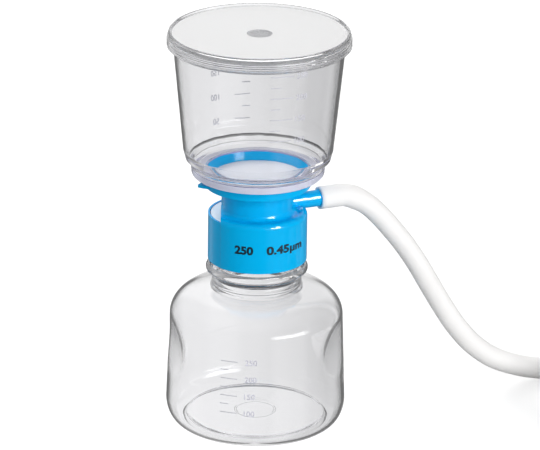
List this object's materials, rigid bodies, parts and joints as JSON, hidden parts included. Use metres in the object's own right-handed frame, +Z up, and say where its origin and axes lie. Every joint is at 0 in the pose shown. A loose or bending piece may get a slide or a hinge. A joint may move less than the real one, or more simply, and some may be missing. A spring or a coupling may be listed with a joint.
{
  "type": "vacuum filtration unit",
  "caption": "Clear lidded funnel on a blue membrane filter base with a side hose barb, screwed onto a clear wide receiver bottle, with a white vacuum hose.",
  "frame": {"origin": "centre of the bottle's foot, on the bench", "axes": "+Z up along the unit's axis, -Y towards the front of the unit, +X to the side that the hose leaves from"},
  "size_m": [0.3243, 0.131, 0.2059],
  "materials": {
    "clear_bottle": "clear, blown polystyrene, glossy",
    "clear_funnel": "clear, moulded polystyrene, glossy",
    "clear_lid": "clear, moulded polystyrene, glossy",
    "blue_plastic": "opaque moulded polystyrene, glossy",
    "support_plastic": "natural white polypropylene",
    "membrane_film": "matt white filter film",
    "gasket_silicone": "satin white silicone",
    "hose_silicone": "satin white silicone",
    "tie_strap": "dark woven hook strap"
  },
  "bodies": {
    "bottle": {"bottle": "clear_bottle"},
    "gasket": {"mouth_gasket": "gasket_silicone"},
    "head": {"filter_base": "blue_plastic", "support_disc": "support_plastic", "membrane": "membrane_film", "funnel": "clear_funnel", "hose_run": "hose_silicone", "hose_coil": "hose_silicone", "hose_tie": "tie_strap"},
    "lid": {"lid": "clear_lid"}
  },
  "joints": [
    {"name": "head_lift", "type": "slide", "parent": "bottle", "child": "gasket", "axis": [0, 0, 1], "range_m": [0, 0.0081]},
    {"name": "head_turn", "type": "hinge", "parent": "gasket", "child": "head", "pos_m": [0, 0, 0.1], "axis": [0, 0, 1], "range_deg": [0, 720]},
    {"name": "lid_lift", "type": "slide", "parent": "head", "child": "lid", "axis": [0, 0, 1], "range_m": [0, 0.03]}
  ],
  "couplings": [
    {"joint": "head_lift", "follows": "head_turn", "m_per_rad": 0.00063662}
  ]
}
